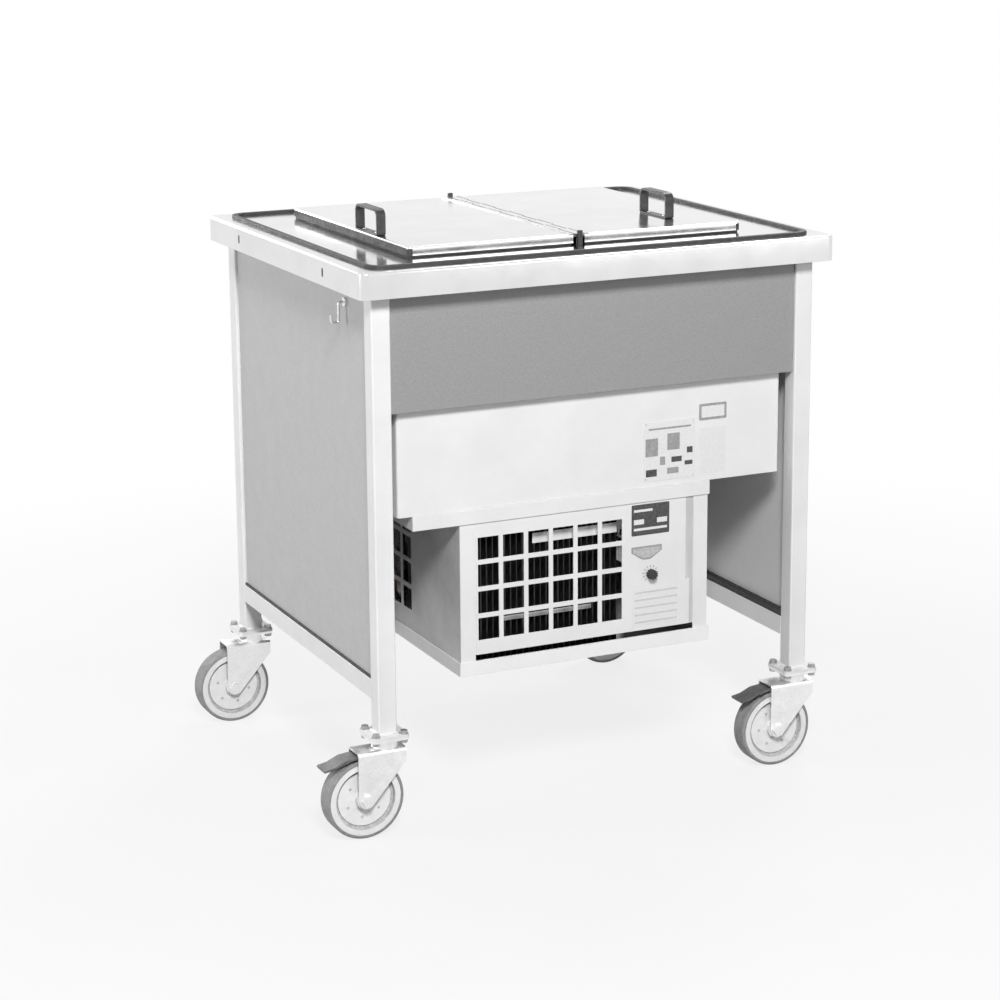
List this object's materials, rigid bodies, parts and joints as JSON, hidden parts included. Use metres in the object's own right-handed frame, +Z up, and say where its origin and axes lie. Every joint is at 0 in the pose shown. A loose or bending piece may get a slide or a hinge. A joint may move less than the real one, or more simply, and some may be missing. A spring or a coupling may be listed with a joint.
{
  "type": "ice cream serving counter",
  "caption": "Refrigerated serving counter on swivel castors: steel worktop with lidded well, square tube frame, panels, and condensing unit hung below.",
  "frame": {"origin": "on the floor, under the middle of the worktop", "axes": "+X to the right of the operator, -Y towards the operator, +Z up"},
  "size_m": [0.864, 0.675, 0.928],
  "materials": {
    "stainless": "polished stainless sheet",
    "white_enamel": "satin white enamel on steel",
    "end_laminate": "matt light grey laminate",
    "apron_laminate": "matt mid grey laminate",
    "black_rubber": "matt black rubber",
    "black_plastic": "satin black plastic",
    "pedal_plastic": "satin dark grey plastic",
    "foam": "rigid foam",
    "aluminium": "mill finish",
    "black_fins": "black painted fins",
    "black_paint": "gloss black paint",
    "copper": "drawn copper",
    "zinc": "bright zinc plate",
    "wheel_plastic": "light grey moulded plastic",
    "tyre": "grey non-marking rubber"
  },
  "bodies": {
    "left_lid": {"lid_left": "stainless", "lid_gasket_left": "black_rubber", "lid_handle_left": "black_plastic"},
    "right_lid": {"lid_right": "stainless", "lid_gasket_right": "black_rubber", "lid_handle_right": "black_plastic"},
    "knob": {"thermostat_knob": "black_plastic"},
    "fan": {"fan_blade": "black_plastic"},
    "fork_front_left": {"castor_fork_front_left": "zinc"},
    "wheel_front_left": {"castor_wheel_front_left": "wheel_plastic", "castor_tyre_front_left": "tyre"},
    "brake_front_left": {"castor_brake_front_left": "pedal_plastic"},
    "fork_front_right": {"castor_fork_front_right": "zinc"},
    "wheel_front_right": {"castor_wheel_front_right": "wheel_plastic", "castor_tyre_front_right": "tyre"},
    "brake_front_right": {"castor_brake_front_right": "pedal_plastic"},
    "fork_back_left": {"castor_fork_back_left": "zinc"},
    "wheel_back_left": {"castor_wheel_back_left": "wheel_plastic", "castor_tyre_back_left": "tyre"},
    "fork_back_right": {"castor_fork_back_right": "zinc"},
    "wheel_back_right": {"castor_wheel_back_right": "wheel_plastic", "castor_tyre_back_right": "tyre"},
    "counter": {"worktop": "stainless", "centre_bar": "stainless", "hinge_pins": "stainless", "well_liner": "stainless", "panel_hook": "stainless", "leg_front_left": "white_enamel", "leg_front_right": "white_enamel", "leg_back_left": "white_enamel", "leg_back_right": "white_enamel", "lower_rail_left": "white_enamel", "lower_rail_right": "white_enamel", "lower_rail_back": "white_enamel", "top_frame": "white_enamel", "tank_casing": "white_enamel", "unit_hanger": "white_enamel", "unit_tray": "white_enamel", "unit_front": "white_enamel", "unit_shell": "white_enamel", "panel_left": "end_laminate", "panel_right": "end_laminate", "panel_back": "end_laminate", "apron_front": "apron_laminate", "rim_seal": "black_rubber", "compressor_feet": "black_rubber", "bar_end_caps": "black_plastic", "thermostat": "black_plastic", "insulation": "foam", "evaporator": "aluminium", "condenser": "black_fins", "compressor": "black_paint", "fan_motor": "black_paint", "fan_shroud": "black_paint", "refrigerant_pipes": "copper", "filter_drier": "copper", "castor_plate_front_left": "zinc", "castor_plate_front_right": "zinc", "castor_plate_back_left": "zinc", "castor_plate_back_right": "zinc"}
  },
  "joints": [
    {"name": "left_lid_hinge", "type": "hinge", "parent": "counter", "child": "left_lid", "pos_m": [-0.0069, 0, 0.8854], "axis": [0, 1, 0], "range_deg": [0, 85]},
    {"name": "right_lid_hinge", "type": "hinge", "parent": "counter", "child": "right_lid", "pos_m": [0.0069, 0, 0.8854], "axis": [0, -1, 0], "range_deg": [0, 85]},
    {"name": "knob_turn", "type": "hinge", "parent": "counter", "child": "knob", "pos_m": [0.099, -0.298, 0.348], "axis": [0, 1, 0], "range_deg": [0, 270]},
    {"name": "fan_spin", "type": "hinge", "parent": "counter", "child": "fan", "pos_m": [-0.074, -0.2, 0.339], "axis": [0, 1, 0], "continuous": true},
    {"name": "swivel_front_left", "type": "hinge", "parent": "counter", "child": "fork_front_left", "pos_m": [-0.36, -0.2975, 0.146], "axis": [0, 0, 1], "continuous": true},
    {"name": "roll_front_left", "type": "hinge", "parent": "fork_front_left", "child": "wheel_front_left", "pos_m": [-0.398, -0.2975, 0.0625], "axis": [0, 1, 0], "continuous": true},
    {"name": "brake_press_front_left", "type": "hinge", "parent": "fork_front_left", "child": "brake_front_left", "pos_m": [-0.403, -0.2975, 0.1307], "axis": [0, -1, 0], "range_deg": [0, 10]},
    {"name": "swivel_front_right", "type": "hinge", "parent": "counter", "child": "fork_front_right", "pos_m": [0.36, -0.2975, 0.146], "axis": [0, 0, 1], "continuous": true},
    {"name": "roll_front_right", "type": "hinge", "parent": "fork_front_right", "child": "wheel_front_right", "pos_m": [0.322, -0.2975, 0.0625], "axis": [0, 1, 0], "continuous": true},
    {"name": "brake_press_front_right", "type": "hinge", "parent": "fork_front_right", "child": "brake_front_right", "pos_m": [0.317, -0.2975, 0.1307], "axis": [0, -1, 0], "range_deg": [0, 10]},
    {"name": "swivel_back_left", "type": "hinge", "parent": "counter", "child": "fork_back_left", "pos_m": [-0.36, 0.2975, 0.146], "axis": [0, 0, 1], "continuous": true},
    {"name": "roll_back_left", "type": "hinge", "parent": "fork_back_left", "child": "wheel_back_left", "pos_m": [-0.398, 0.2975, 0.0625], "axis": [0, 1, 0], "continuous": true},
    {"name": "swivel_back_right", "type": "hinge", "parent": "counter", "child": "fork_back_right", "pos_m": [0.36, 0.2975, 0.146], "axis": [0, 0, 1], "continuous": true},
    {"name": "roll_back_right", "type": "hinge", "parent": "fork_back_right", "child": "wheel_back_right", "pos_m": [0.322, 0.2975, 0.0625], "axis": [0, 1, 0], "continuous": true}
  ]
}
